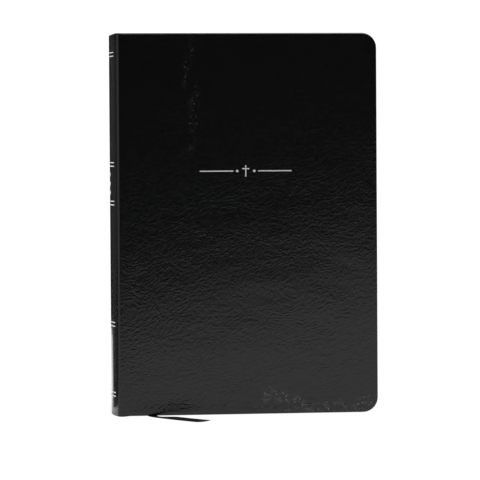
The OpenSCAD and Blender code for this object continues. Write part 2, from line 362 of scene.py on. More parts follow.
# %% [markdown]
# ## Foil and gilding
# The markings are silver foil, stamped hot into the grain, so the foil is slightly broken and satin rather
# than mirror-like. The spine's foil is its pale silver lifted to near white, which is a painted highlight. The
# front cover's foil is a darker copy of the same foil, which is painted shade. The page edges are gilded the
# same colour: foil on paper, with the leaves' fine lines in it.

# %% Mix the foil and the gilded edge
FOIL_GRAIN_MM = 0.8
LEAF_LINE_MM, GILT_RUB_MM = 0.35, 18


def stamped_foil(name, tones, roughness, metallic, dent=0.0):
    """Silver foil over grain. tones are its middle, dark and light hex, and dent is how far grain shows."""
    material, tree, surface = new_material(name, tones[0], roughness, Metallic=metallic)
    place = add(tree, "ShaderNodeTexCoord").outputs["Object"]
    grain = add(tree, "ShaderNodeTexNoise", speckle(place, FOIL_GRAIN_MM, 3.0))
    show_pattern(tree, surface, grain, tones[1], tones[2], dent)
    return material


# The spine's foil: its pale silver lifted to near white as a painted highlight.
foil = stamped_foil("silver_foil_painted_highlight", ("#f6f6f8", "#ececef", "#ffffff"), 0.55, 0.15, dent=0.4)
# The front cover's foil: the same foil made darker as painted shade.
shaded_foil = stamped_foil("cover_foil_painted_shade", ("#a4a4a8", "#858589", "#bdbdc1"), 0.5, 0.3)

gilt, tree, surface = new_material("silver_gilt_edge", "#c9c9cd", 0.34, Metallic=0.9)
place = add(tree, "ShaderNodeTexCoord").outputs["Object"]
along_leaves = add(tree, "ShaderNodeMapping", {"Vector": place, "Scale": (0.05, 1.0, 0.05)})
leaf_lines = add(tree, "ShaderNodeTexNoise", speckle(along_leaves, LEAF_LINE_MM, 3.0))
show_pattern(tree, surface, leaf_lines, "#a3a3a8", "#dedee2", strength=0.5, depth_mm=0.08)
rubbing = add(tree, "ShaderNodeTexNoise", speckle(place, GILT_RUB_MM, 4.0))
gilt_rough = add(tree, "ShaderNodeMapRange", span(rubbing, 0.3, 0.7, 0.26, 0.46))
tree.links.new(gilt_rough.outputs[0], surface.inputs["Roughness"])
print("foil and gilt ready")

# %% [markdown]
# ## Paper and board
# Bible paper is thin, smooth and slightly translucent, a warm white. The leaves carry two columns of print,
# drawn here as plain grey bars broken into word lengths, because at this size a page reads as bars. The bars
# follow the leaf's own map, in parts of its width and height, so they stay put when a leaf turns.

# %% Mix the bible paper
PAPER_WHITE, INK_GREY = "#ece6d6", "#4a4844"
INK_STRENGTH = 0.5
PRINT_LINES = 56
LINE_SHARE = 0.42
COLUMN_EDGES = [(0.10, 0.485), (0.525, 0.91)]
PRINT_FROM, PRINT_TO = 0.07, 0.93
WORD_CELLS = (26, 7.3, 1)
WORD_GAPS = 0.4

bible_paper, tree, surface = new_material("bible_paper", PAPER_WHITE, 0.72, Specular_IOR_Level=0.3)
leaf_map = add(tree, "ShaderNodeUVMap", uv_map="UVMap")
split = add(tree, "ShaderNodeSeparateXYZ", {0: leaf_map})
across, upward = split.outputs[0], split.outputs[1]


def between(value, low, high):
    """1 where a value of the page's map is between low and high, and 0 elsewhere."""
    above = add(tree, "ShaderNodeMath", {0: value, 1: low}, operation="GREATER_THAN")
    below = add(tree, "ShaderNodeMath", {0: value, 1: high}, operation="LESS_THAN")
    return add(tree, "ShaderNodeMath", {0: above, 1: below}, operation="MULTIPLY")


line_at = add(tree, "ShaderNodeMath", {0: upward, 1: PRINT_LINES}, operation="MULTIPLY")
line_no = add(tree, "ShaderNodeMath", {0: line_at}, operation="FLOOR")
in_line = add(tree, "ShaderNodeMath", {0: line_at}, operation="FRACT")
is_line = add(tree, "ShaderNodeMath", {0: in_line, 1: LINE_SHARE}, operation="LESS_THAN")
word_at = add(tree, "ShaderNodeCombineXYZ", {0: across, 1: line_no})
word_cells = add(tree, "ShaderNodeVectorMath", {0: word_at, 1: WORD_CELLS}, operation="MULTIPLY")
words = add(tree, "ShaderNodeTexNoise", {"Vector": word_cells, "Scale": 1.0, "Detail": 1.0})
printed = add(tree, "ShaderNodeMath", {0: words, 1: WORD_GAPS}, operation="GREATER_THAN")
columns = [between(across, low, high) for low, high in COLUMN_EDGES]
in_column = add(tree, "ShaderNodeMath", {0: columns[0], 1: columns[1]}, operation="ADD")
for part in (is_line, in_column, between(upward, PRINT_FROM, PRINT_TO), INK_STRENGTH):
    printed = add(tree, "ShaderNodeMath", {0: printed, 1: part}, operation="MULTIPLY")
show_pattern(tree, surface, printed, PAPER_WHITE, INK_GREY)
print("bible paper:", PRINT_LINES, "lines to a page")

# %% [markdown]
# The other stocks are pressed from pulp and show their fibre in faint tones. Endpaper is heavier than bible
# paper and lightly felted. The cards are grey board. The spine's lining is brown paper, blotched with glue.

# %% Mix the endpaper, board and lining
def pressed_stock(name, tones, roughness, fibre, felt=0.0, **shader):
    """Paper or board. tones are middle, dark and light; fibre is its size in mm, detail and roughness."""
    material, tree, surface = new_material(name, tones[0], roughness, **shader)
    place = add(tree, "ShaderNodeTexCoord").outputs["Object"]
    pulp = add(tree, "ShaderNodeTexNoise", speckle(place, *fibre))
    show_pattern(tree, surface, pulp, tones[1], tones[2], felt)
    return material


felted = {"felt": 0.25, "Specular_IOR_Level": 0.25}
endpaper = pressed_stock("plain_endpaper", ("#cfc8b8", "#c6bfae", "#d8d1c2"), 0.8, (1.2, 5.0, 0.7), **felted)
grey_board = pressed_stock("grey_board", ("#8b8377", "#7a7266", "#9d9588"), 0.9, (0.8, 6.0, 0.8))
lining_paper = pressed_stock("spine_lining_paper", ("#c8bfa9", "#b6ab92", "#d5cdb9"), 0.85, (9, 4.0, 0.5))
print("stocks:", endpaper.name, grey_board.name, lining_paper.name)

# %% [markdown]
# ## Ribbon, cloth and thread
# The ribbon is double-faced satin: fine threads across it and a silky shine along it. The mull is an open
# cotton weave, the end bands are wound in silver-grey and black thread, and the sewing thread is waxed linen.
# A Wave texture repeats every 2 pi / 20 units at scale 1, and so a thread's spacing gives its scale.

# %% Mix the satin, the cloth and the threads
WAVE_AT_ONE = 2 * math.pi / 20
SATIN_THREAD_MM = 0.05

satin, tree, surface = new_material("black_satin_ribbon", "#040405", 0.45, Specular_IOR_Level=0.25)
strip_map = add(tree, "ShaderNodeUVMap", uv_map="UVMap")
ribs = add(
    tree,
    "ShaderNodeTexWave",
    {"Vector": strip_map, "Scale": WAVE_AT_ONE / SATIN_THREAD_MM, "Distortion": 0.3},
    bands_direction="Y",
)
ribbed = {"Height": ribs.outputs["Fac"], "Strength": 0.5, "Distance": 0.05 * MM}
tree.links.new(add(tree, "ShaderNodeBump", ribbed).outputs[0], surface.inputs["Normal"])


def woven(name, light, dark, thread_mm, roughness):
    """Cloth whose two sets of threads cross every thread_mm: the thread's colour on top, painted shade
    between.
    """
    material, cloth, shader = new_material(name, light, roughness, Sheen_Weight=0.3)
    at = add(cloth, "ShaderNodeTexCoord").outputs["Object"]
    spacing = {"Vector": at, "Scale": per_mm(thread_mm) * WAVE_AT_ONE}
    warp, weft = [add(cloth, "ShaderNodeTexWave", spacing, bands_direction=way) for way in ("Y", "Z")]
    crossing = {0: warp.outputs["Fac"], 1: weft.outputs["Fac"]}
    crossed = add(cloth, "ShaderNodeMath", crossing, operation="MAXIMUM")
    # The dark tone between the threads is painted shade in the weave's hollows.
    show_pattern(cloth, shader, crossed, dark, light, strength=0.6, depth_mm=0.1)
    return material


# Each cloth's second colour is its thread darkened as painted shade between the threads.
mull = woven("open_weave_mull", "#ded8c8", "#8f8a7c", 1.2, 0.9)
band_silver = woven("silver_grey_band_thread", "#b9b9bc", "#77777a", 0.4, 0.6)
band_black = woven("black_band_thread", "#1b1b1d", "#0c0c0d", 0.4, 0.6)
linen = woven("waxed_linen_thread", "#e3dfd2", "#a9a595", 0.3, 0.6)
print("threads cross every 1.2 mm in the", mull.name)

# %% [markdown]
# ## Making meshes
# Most pieces are thin sheets with round fore-edge corners. One function lays out a grid whose columns run
# from the spine to the fore-edge, each as tall as the corners let it be. Others close a grid into a solid
# sheet, or sweep a closed section along a path. A finished mesh sits at the origin, with its place in its
# points.

# %% Helpers for meshes
def make_piece(name, points, faces, material, smooth=True):
    """A mesh object from points in metres and faces, with its faces turned outwards."""
    mesh = bpy.data.meshes.new(name)
    mesh.from_pydata([tuple(p) for p in points], [], [tuple(int(i) for i in f) for f in faces])
    work = bmesh.new()
    work.from_mesh(mesh)
    bmesh.ops.recalc_face_normals(work, faces=work.faces)
    work.to_mesh(mesh)
    work.free()
    for polygon in mesh.polygons:
        polygon.use_smooth = smooth
    mesh.materials.append(material)
    piece = bpy.data.objects.new(name, mesh)
    bpy.context.collection.objects.link(piece)
    return piece


def soften(piece, angle=35):
    """Smooth shading, with edges sharper than the angle kept crisp."""
    piece.data.set_sharp_from_angle(angle=math.radians(angle))
    return piece


def round_grid(x0, shares, x1, z0, z1, radius, rows, corner_steps=7):
    """X and Z of a grid with round corners at the fore-edge. shares place its straight part's columns."""
    turns = np.linspace(0, math.pi / 2, corner_steps + 1)[1:]
    flat = x0 + (x1 - radius - x0) * np.array(shares)
    xs = np.concatenate([flat, x1 - radius + radius * np.sin(turns)])
    cut = np.concatenate([np.zeros(len(flat)), radius * (1 - np.cos(turns))])
    share = np.linspace(0, 1, rows + 1)
    x = np.repeat(xs[:, None], rows + 1, 1)
    z = (z0 + cut)[:, None] * (1 - share) + (z1 - cut)[:, None] * share
    return x, z


def grid_faces(columns, rows, start=0):
    """Quads of a grid of points numbered column by column."""
    corners = [start + i * rows + j for i in range(columns - 1) for j in range(rows - 1)]
    return [(n, n + rows, n + rows + 1, n + 1) for n in corners]


def rim_loop(columns, rows):
    """Numbers of a grid's edge points: along the tail, up the fore-edge and back along the head."""
    tail = [i * rows for i in range(columns)]
    fore = [(columns - 1) * rows + j for j in range(1, rows - 1)]
    head = [i * rows + rows - 1 for i in range(columns - 1, -1, -1)]
    return tail + fore + head


def closed_sheet(x, z, y_front, y_back):
    """Points and faces of a solid sheet between two surfaces over a grid, and its count of wide faces."""
    columns, rows = x.shape
    front = np.stack([x, np.broadcast_to(y_front, x.shape), z], -1).reshape(-1, 3)
    back = np.stack([x, np.broadcast_to(y_back, x.shape), z], -1).reshape(-1, 3)
    count = len(front)
    spine_side = list(range(rows - 2, 0, -1))
    loop = rim_loop(columns, rows) + spine_side
    faces = grid_faces(columns, rows) + [f[::-1] for f in grid_faces(columns, rows, count)]
    rim = [(loop[k - 1], loop[k], loop[k] + count, loop[k - 1] + count) for k in range(len(loop))]
    return np.vstack([front, back]), faces + rim, len(faces)


def sweep_faces(rings, ring):
    """Faces of a closed section of ring points, swept through some rings and shut at both ends."""
    sides = [(n * ring + k, n * ring + (k + 1) % ring) for n in range(rings - 1) for k in range(ring)]
    ends = [tuple(range(ring))[::-1], tuple(range((rings - 1) * ring, rings * ring))]
    return [(a, b, b + ring, a + ring) for a, b in sides] + ends


def map_points(piece, maps):
    """Gives a mesh its map from one pair of numbers for each of its points."""
    layer = piece.data.uv_layers.new(name="UVMap")
    for loop in piece.data.loops:
        layer.data[loop.index].uv = maps[loop.vertex_index]


def flipped(points):
    """The same points mirrored to the back half of the book."""
    return points * np.array([1, -1, 1])


SIDES = {"front": 1, "back": -1}
print("mesh helpers ready")

# %% [markdown]
# ## The ribbon marker
# A ribbon marker is glued to the spine at the head, lies between two leaves and leaves the block at the tail.
# Its free end is a limp strip a few centimetres long that ends in a slanting cut. The route of its middle is
# a short list of places on the floor. The strip is flat where the cover stands over it. Past the cover, its
# edge on the book's side lifts a little, as ribbon that has been rolled does.

# %% Make the ribbon's free end
RIBBON_W = 6 * MM
RIBBON_T = 0.25 * MM
FLOOR_GAP = 0.02 * MM
RIBBON_CURL = 1.3 * MM
CURL_FROM, CURL_OVER = 1.5, 6
TIP_SLANT = 7 * MM
RIBBON_ROUTE = [
    (-60.5, -19), (-60, -22), (-58.9, -25.2), (-57.3, -28.6), (-55.5, -32),
    (-53.6, -35.6), (-51.6, -39.2), (-49.5, -42.9), (-47.3, -46.6), (-45.1, -50.3),
    (-42.8, -54), (-40.5, -57.6), (-38.2, -61), (-35.9, -64.2), (-33.5, -67.2),
]  # fmt: skip
# The section with its soft edges: places across and up, as shares of the width and the thickness.
RIBBON_UNDER = [(-0.5, 0.35), (-0.47, 0.15), (-0.25, 0), (0, 0), (0.25, 0), (0.47, 0.15), (0.5, 0.35)]
RIBBON_OVER = [(0.5, 0.35), (0.47, 0.85), (0.25, 1), (0, 1), (-0.25, 1), (-0.47, 0.85), (-0.5, 0.35)]


def heading(places, n):
    """Direction of a route at its place n."""
    return (places[min(n + 1, len(places) - 1)] - places[max(n - 1, 0)]).normalized()


def ribbon_strip(name, middles, lefts, ups, curls, slant=0.0):
    """A strip from the middles of its under-side, its left and up directions, and each place's edge lift."""
    section = RIBBON_UNDER + RIBBON_OVER
    points, maps = [], []
    travelled = 0.0
    for n, middle in enumerate(middles):
        if n:
            travelled += (middle - middles[n - 1]).length
        cut = heading(middles, n) * (slant if n == len(middles) - 1 else 0.0)
        for across, thick in section:
            lift = ups[n] * (thick * RIBBON_T + curls[n] * (0.5 + across) ** 2)
            points.append(middle + lefts[n] * across * RIBBON_W + lift + cut * across)
            maps.append((across * RIBBON_W / MM, travelled / MM))
    piece = make_piece(name, points, sweep_faces(len(middles), len(section)), satin)
    map_points(piece, maps)
    return piece


def curl(n):
    """How far the left edge, which is the one nearer the book, lifts at route point n."""
    grown = min(max((n - CURL_FROM) / CURL_OVER, 0), 1)
    return RIBBON_CURL * grown * grown * (3 - 2 * grown)


route = [Vector((x * MM, y * MM, FLOOR_GAP)) for x, y in RIBBON_ROUTE]
headings = [Vector((0, -1, 0))] + [heading(route, n) for n in range(1, len(route))]
ribbon_end = ribbon_strip(
    "ribbon_end_satin",
    route,
    lefts=[Vector((-h.y, h.x, 0)) for h in headings],
    ups=[Vector((0, 0, 1))] * len(route),
    curls=[curl(n) for n in range(len(route))],
    slant=TIP_SLANT,
)
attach(ribbon_end, "book_spine")
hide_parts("ribbon_end")

# %% [markdown]
# The rest of the ribbon hangs straight down between the leaves, turns at the tail and runs forward under the
# leaves, up to where the free end takes over.

# %% Make the length between the leaves
BEND_R = 2.4 * MM + RIBBON_T

held_lo, held_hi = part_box("ribbon_marker")
held_x = (held_lo.x + held_hi.x) / 2
down = [Vector((held_x, held_hi.y, z)) for z in np.linspace(held_hi.z, FLOOR_GAP + BEND_R, 14)]
bend = [
    Vector((held_x, held_hi.y - BEND_R * (1 - math.cos(a)), FLOOR_GAP + BEND_R * (1 - math.sin(a))))
    for a in np.linspace(0, math.pi / 2, 9)[1:]
]
out = [Vector((held_x, y, FLOOR_GAP)) for y in np.linspace(bend[-1].y, held_lo.y, 6)[1:]]
held_path = down + bend + out
steps = [heading(held_path, n) for n in range(len(held_path))]
held_ribbon = ribbon_strip(
    "ribbon_marker_satin",
    held_path,
    lefts=[Vector((1, 0, 0))] * len(held_path),
    ups=[Vector((0, step.z, -step.y)) for step in steps],
    curls=[0.0] * len(held_path),
)
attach(held_ribbon, "book_spine")
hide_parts("ribbon_marker")
print("held ribbon: points", len(held_path))

# %% [markdown]
# ## The cover leather
# A flexible cover is a sheet of leather over thin card. The leather wraps round the card's edges with a soft
# radius and is turned in for about 14 mm inside. So the mesh is a real shell: an outer face, a rolled rim,
# the turn-in, and the inner face that touches the card. The outer face also rises and falls by a tenth of a
# millimetre or so, which is what makes its shine uneven.

# %% Build a cover's leather
SEAM = 2 * MM
ROLL_R = 0.9 * MM
INNER_ROLL_R = 0.6 * MM
TIGHTEST_CORNER_R = 1.5 * MM
TURN_IN_EDGE = 0.05 * MM
SWELL = 0.16 * MM
SWELL_FADE = 9 * MM
COLUMN_STEPS = 74
ROW_STEPS = 110
cover_start = HINGE_X + SEAM


def rim_profile():
    """Inset and depth of the rings from the outer face, round the edge and along the turn-in."""
    quarter = np.linspace(0, math.pi / 2, 6)[1:]
    arc = [(ROLL_R * (1 - math.sin(a)), ROLL_R * (1 - math.cos(a))) for a in quarter]
    back = [
        (INNER_ROLL_R * (1 - math.cos(a)), COVER_T - INNER_ROLL_R * (1 - math.sin(a)))
        for a in np.linspace(0, math.pi / 2, 5)
    ]
    under = COVER_T - TURN_IN_T
    return arc + back + [(TURN_IN_W, COVER_T), (TURN_IN_W + TURN_IN_EDGE, under), (LEATHER_T, under)]


def cover_grid(inset):
    """X and Z of the cover's grid with its three free edges moved in by inset."""
    return round_grid(
        cover_start,
        np.linspace(0, 1, COLUMN_STEPS),
        FORE_X - inset,
        TAIL_Z + inset,
        BOOK_H - inset,
        max(CORNER_R - inset, TIGHTEST_CORNER_R),
        ROW_STEPS,
    )


def swell(x, z, seed):
    """How far the leather's outer face sinks at a place: soft hollows, fading out near the edges."""
    slow = noise.noise(Vector((x / 0.045, seed, z / 0.028)))
    quick = noise.noise(Vector((x / 0.016, seed + 9, z / 0.009)))
    edge = min(x - cover_start, FORE_X - x, z - TAIL_Z, BOOK_H - z) / SWELL_FADE
    fade = min(max(edge, 0), 1)
    return SWELL * (0.5 + 0.35 * slow + 0.15 * quick) * fade * fade * (3 - 2 * fade)


def cover_leather(side):
    """One cover's leather as a closed shell, made for the front and mirrored for the back."""
    x, z = cover_grid(ROLL_R)
    columns, rows = x.shape
    seed = 3.0 if side == "front" else 21.0
    sink = np.array([[swell(x[i, j], z[i, j], seed) for j in range(rows)] for i in range(columns)])
    points = [np.stack([x, sink - HALF_T, z], -1).reshape(-1, 3)]
    faces = grid_faces(columns, rows)
    loop = rim_loop(columns, rows)
    previous = loop
    count = columns * rows
    tail_ends, head_ends = [], []
    for inset, depth in rim_profile():
        gx, gz = cover_grid(inset)
        ring = np.stack([gx, np.full(gx.shape, depth - HALF_T), gz], -1).reshape(-1, 3)[loop]
        numbers = list(range(count, count + len(loop)))
        points.append(ring)
        faces += [(previous[k], previous[k + 1], numbers[k + 1], numbers[k]) for k in range(len(loop) - 1)]
        tail_ends.append(numbers[0])
        head_ends.append(numbers[-1])
        previous = numbers
        count += len(loop)
    gx, gz = cover_grid(LEATHER_T)
    points.append(np.stack([gx, np.full(gx.shape, LEATHER_T - HALF_T), gz], -1).reshape(-1, 3))
    faces += [f[::-1] for f in grid_faces(columns, rows, count)]
    inner = [count + n for n in loop]
    faces += [(previous[k], previous[k + 1], inner[k + 1], inner[k]) for k in range(len(loop) - 1)]
    inner_seam = [count + j for j in range(rows)]
    faces.append(tuple(list(range(rows)) + head_ends + inner_seam[::-1] + tail_ends[::-1]))
    all_points = np.vstack(points)
    if side == "back":
        all_points = flipped(all_points)
    piece = make_piece(f"{side}_cover_skin", all_points, faces, leather)
    return soften(piece, 60)


# %% [markdown]
# The finish is rubbed grey in a few places: a smudge along the tail edge near the corner, and a few specks
# near the head. An attribute on the mesh says how much, and the leather's own noise breaks it into specks.

# %% Rub the finish and place both covers
RUBBED_PLACES = [
    # middle x and z, half-length and half-width in mm, turn in degrees, amount
    (12, 9, 7, 4, 65, 0.4),
    (22, 12, 7, 4, -15, 0.55),
    (32, 8, 8, 3, -30, 0.45),
    (52, 4.2, 22, 2.6, 2, 0.5),
    (76, 6, 8, 3.5, 25, 0.5),
    (-37, 226, 14, 2, 80, 0.14),
    (-33, 196, 12, 2.5, 85, 0.18),
    (-36, 172, 5, 3, 60, 0.12),
]
BACK_RUBBED = [(60, 5, 22, 3, 0, 0.5)]
CREASED_PLACES = [(-47, 6, 13, 4, 12, 0.75), (-72, 120, 90, 1.5, 90, 0.25)]
FADES_AT = 1.6


def paint(piece, layer_name, places):
    """Writes how much of something each point of a piece has, from a list of soft, turned ovals."""
    spots = np.array([v.co[:] for v in piece.data.vertices]) / MM
    amounts = np.zeros(len(spots))
    for x, z, half_long, half_wide, turn, amount in places:
        c, s = math.cos(math.radians(turn)), math.sin(math.radians(turn))
        along = (spots[:, 0] - x) * c + (spots[:, 2] - z) * s
        beside = (spots[:, 2] - z) * c - (spots[:, 0] - x) * s
        far = np.hypot(along / half_long, beside / half_wide)
        amounts = np.maximum(amounts, amount * np.clip(FADES_AT - far, 0, 1))
    layer = piece.data.attributes.new(layer_name, "FLOAT", "POINT")
    layer.data.foreach_set("value", amounts.astype(np.float32))


def finish_leather(piece, rubbed_places=(), creased_places=()):
    """Paints a piece's wear."""
    paint(piece, "rubbed", rubbed_places)
    paint(piece, "creased", creased_places)


for side in SIDES:
    skin = cover_leather(side)
    if side == "front":
        finish_leather(skin, RUBBED_PLACES, CREASED_PLACES)
    else:
        finish_leather(skin, BACK_RUBBED)
    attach(skin, f"{side}_cover")
    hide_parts(f"{side}_cover_leather")
    print(skin.name, "faces", len(skin.data.polygons))

# %% [markdown]
# ## The spine and its two joints
# The same sheet of leather goes round the spine. Its section is one wide arc with a small round shoulder at
# each side. At the head and the tail the leather is rolled over a card strip, so its edge is a soft lip. The
# two joints are the strips that bend when a cover opens; each is made as a flat strip from the spine to its
# cover.

# %% Build the spine's leather
HEAD_DIP = 0.5 * MM
DIP_HALF_W = 0.8 * HALF_T
SPINE_SKIN_T = 2.1 * MM
STRIP_ROWS = 60
SHOULDER_Y = HALF_T - SHOULDER_R
ARC_MIDDLE = SPINE_X + SPINE_CURVE_R
SHOULDER_X = ARC_MIDDLE - math.sqrt((SPINE_CURVE_R - SHOULDER_R) ** 2 - SHOULDER_Y**2)
seam_x = HINGE_X - SEAM


def spine_path():
    """Points round the outside of the spine, front to back, each with its outward direction."""
    half_angle = math.atan2(SHOULDER_Y, ARC_MIDDLE - SHOULDER_X)
    front = [((seam_x, -HALF_T), (0, -1)), (((seam_x + SHOULDER_X) / 2, -HALF_T), (0, -1))]
    for a in np.linspace(math.pi / 2, half_angle, 10):
        out = (-math.cos(a), -math.sin(a))
        front.append(((SHOULDER_X + SHOULDER_R * out[0], -SHOULDER_Y + SHOULDER_R * out[1]), out))
    wide = []
    for a in np.linspace(half_angle, -half_angle, 27)[1:-1]:
        out = (-math.cos(a), -math.sin(a))
        wide.append(((ARC_MIDDLE + SPINE_CURVE_R * out[0], SPINE_CURVE_R * out[1]), out))
    back = [((p[0], -p[1]), (o[0], -o[1])) for p, o in front[::-1]]
    return front + wide + back


def strip_section(z0, z1, thick, roll, rows):
    """Depth and height round a strip: up its outer face, over the head, down inside and under the tail."""
    outer = [(0.0, z) for z in np.linspace(z0 + roll, z1 - roll, rows)]
    quarter = np.linspace(0, math.pi / 2, 6)[1:]
    head = [(roll * (1 - math.cos(a)), z1 - roll * (1 - math.sin(a))) for a in quarter]
    inner_roll = min(INNER_ROLL_R, thick - roll)
    over = [
        (thick - inner_roll * (1 - math.sin(a)), z1 - inner_roll * (1 - math.cos(a)))
        for a in np.linspace(0, math.pi / 2, 5)
    ]
    inside = [(thick, z) for z in np.linspace(z1 - inner_roll, z0 + inner_roll, 12)[1:-1]]
    mirrored = [(d, z0 + z1 - z) for d, z in (head + over)[::-1]]
    return outer + head + over + inside + mirrored


def sweep_strip(name, path, ends, thick, material):
    """Sweeps a leather section along a path in plan. ends gives the tail and head height at each point."""
    sections = [strip_section(z0, z1, thick, ROLL_R, STRIP_ROWS) for z0, z1 in ends]
    points = [
        (x - ox * d, y - oy * d, z) for ((x, y), (ox, oy)), section in zip(path, sections) for d, z in section
    ]
    return soften(make_piece(name, points, sweep_faces(len(path), len(sections[0])), material), 60)


path = spine_path()
spine_ends = [(0.0, BOOK_H - HEAD_DIP * max(0.0, 1 - (p[1] / DIP_HALF_W) ** 2)) for p, _ in path]
spine_skin = sweep_strip("spine_skin", path, spine_ends, SPINE_SKIN_T, leather)
finish_leather(spine_skin)
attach(spine_skin, "book_spine")
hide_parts("spine_leather")
print("spine skin faces", len(spine_skin.data.polygons))

# %% [markdown]
# A joint is made flat, as it lies when the book is shut, as a strip from the spine to its cover.

# %% Make the two joints
JOINT_STEPS = 14
JOINT_T = 1.5 * MM

for side, sign in SIDES.items():
    y = -sign * HALF_T
    joint_path = [((x, y), (0, -sign)) for x in np.linspace(seam_x, cover_start, JOINT_STEPS + 1)]
    joint_ends = [(tail, BOOK_H) for tail in np.linspace(0, TAIL_Z, JOINT_STEPS + 1)]
    joint_skin = sweep_strip(f"{side}_joint_skin", joint_path, joint_ends, JOINT_T, leather)
    finish_leather(joint_skin)
    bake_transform(joint_skin)
    print(joint_skin.name, "bends over", round(2 * SEAM / MM, 1), "mm")

# %% [markdown]
# ## Endpapers
# The pastedown is glued over the turn-ins, so their edge shows through it as a faint step. The flyleaf facing
# it is one free leaf of the same paper. Its columns are finer over the part near the spine.

# %% Make the pastedowns and flyleaves
PASTEDOWN_R = 6.5 * MM
STEP_H = 0.12 * MM
STEP_W = 1.2 * MM
PAPER_T = 0.3 * MM
PAPER_GAP = 0.05 * MM
LEAF_R = 7 * MM


def step_through(x, z):
    """Depth of the step where the pastedown drops from the turn-in to the card."""
    inside = np.minimum.reduce([FORE_X - TURN_IN_W - x, z - TURN_IN_W, BOOK_H - TURN_IN_W - z])
    share = np.clip(inside / STEP_W + 0.5, 0, 1)
    return STEP_H * share * share * (3 - 2 * share)


for side, sign in SIDES.items():
    lo, hi = pastedown_lo, pastedown_hi
    x, z = round_grid(lo.x, np.linspace(0, 1, 90), hi.x, lo.z, hi.z, PASTEDOWN_R, 130)
    points, faces, _ = closed_sheet(x, z, hi.y - PAPER_T, hi.y - step_through(x, z))
    sheet = make_piece(f"{side}_pastedown_paper", points if sign > 0 else flipped(points), faces, endpaper)
    soften(sheet, 40)
    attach(sheet, f"{side}_cover")
    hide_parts(f"{side}_pastedown")

    lo, hi = flyleaf_lo, flyleaf_hi
    gutter = np.concatenate([np.linspace(0, 0.2, 20), np.linspace(0.2, 1, 9)[1:]])
    x, z = round_grid(lo.x, gutter, hi.x, lo.z, hi.z, LEAF_R, 8)
    points, faces, _ = closed_sheet(x, z, lo.y + PAPER_GAP, hi.y - PAPER_GAP)
    leaf = make_piece(f"{side}_flyleaf_paper", points if sign > 0 else flipped(points), faces, endpaper)
    soften(leaf, 40)
    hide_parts(f"{side}_flyleaf")
    y = sign * lo.y
    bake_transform(leaf)
print("pastedowns and flyleaves made")

# %% [markdown]
# ## The leaves
# A bible has some 750 leaves of very thin paper. They are drawn as bundles about 0.3 mm thick, which is as
# fine as the eye can part them from two metres. A node tree stacks one bundle along the block's thickness,
# moves each a hair in and out at random, and gives its cut edges the gilding and its faces the paper.

# %% Build the stacking node tree
def new_tree(name, inputs):
    """A node tree with one mesh in and out and other named inputs, and its input node's outputs."""
    group = bpy.data.node_groups.new(name, "GeometryNodeTree")
    for title, kind, value in [("Geometry", "NodeSocketGeometry", None)] + inputs:
        socket = group.interface.new_socket(title, in_out="INPUT", socket_type=kind)
        if value is not None:
            socket.default_value = value
    group.interface.new_socket("Geometry", in_out="OUTPUT", socket_type="NodeSocketGeometry")
    return group, group.nodes.new("NodeGroupInput").outputs


def row_along_y(group, count, start, pitch):
    """Points in a row along Y, which is across the block's thickness."""
    step = add(group, "ShaderNodeCombineXYZ", {1: pitch})
    return add(group, "GeometryNodeMeshLine", {"Count": count, "Start Location": start, "Offset": step})


def two_materials(group, mesh, first, chosen, second):
    """Ends a tree: the first material everywhere, and the second where chosen."""
    plain = add(group, "GeometryNodeSetMaterial", {"Geometry": mesh, "Material": first})
    picked = {"Geometry": plain, "Selection": chosen, "Material": second}
    painted = add(group, "GeometryNodeSetMaterial", picked)
    group.links.new(painted.outputs[0], group.nodes.new("NodeGroupOutput").inputs[0])


def stacking_tree():
    """Stacks one bundle of leaves, each copy a hair out of line, with gilding on the cut edges."""
    inputs = [
        ("Leaf count", "NodeSocketInt", 10),
        ("Leaf pitch", "NodeSocketFloat", 0.3 * MM),
        ("First leaf", "NodeSocketVector", (0, 0, 0)),
        ("Unevenness", "NodeSocketFloat", 0.1 * MM),
        ("Seed", "NodeSocketInt", 1),
        ("Paper", "NodeSocketMaterial", None),
        ("Gilding", "NodeSocketMaterial", None),
    ]
    group, given = new_tree("leaf_stack", inputs)
    row = row_along_y(group, given["Leaf count"], given["First leaf"], given["Leaf pitch"])
    stack = add(group, "GeometryNodeInstanceOnPoints", {"Points": row, "Instance": given["Geometry"]})
    most = add(group, "ShaderNodeCombineXYZ", {0: given["Unevenness"], 2: given["Unevenness"]})
    least = add(group, "ShaderNodeVectorMath", {0: most, 1: (-1, -1, -1)}, operation="MULTIPLY")
    spread = {0: least, 1: most, "Seed": given["Seed"]}
    jog = add(group, "FunctionNodeRandomValue", spread, data_type="FLOAT_VECTOR")
    shift = {"Instances": stack, "Translation": jog}
    moved = add(group, "GeometryNodeTranslateInstances", shift)
    solid = add(group, "GeometryNodeRealizeInstances", {0: moved})
    is_cut = add(group, "GeometryNodeInputNamedAttribute", {"Name": "cut_edge"}, data_type="BOOLEAN")
    two_materials(group, solid, given["Paper"], is_cut, given["Gilding"])
    return group


leaf_stack = stacking_tree()


def run_tree(piece, group, values):
    """Runs a node tree on a mesh, sets inputs by their sockets' identifiers and keeps the plain result."""
    modifier = piece.modifiers.new("tree", "NODES")
    modifier.node_group = group
    for socket in group.interface.items_tree:
        if socket.in_out == "INPUT" and socket.name in values:
            modifier[socket.identifier] = values[socket.name]
    piece.update_tag()
    graph = bpy.context.evaluated_depsgraph_get()
    mesh = bpy.data.meshes.new_from_object(piece.evaluated_get(graph))
    mesh.name = piece.name
    piece.modifiers.remove(modifier)
    old = piece.data
    piece.data = mesh
    bpy.data.meshes.remove(old)
    return piece


print("stacking tree:", len(leaf_stack.nodes), "nodes")

# %% [markdown]
# Each run of leaves is one mesh, stacked from bundles. The middle run stays with the spine.

# %% Stack the leaves of each group
BUNDLE_T = 0.3 * MM
BUNDLE_AIR = 0.015 * MM
UNEVENNESS = 0.09 * MM
MIDDLE_SEED = 77


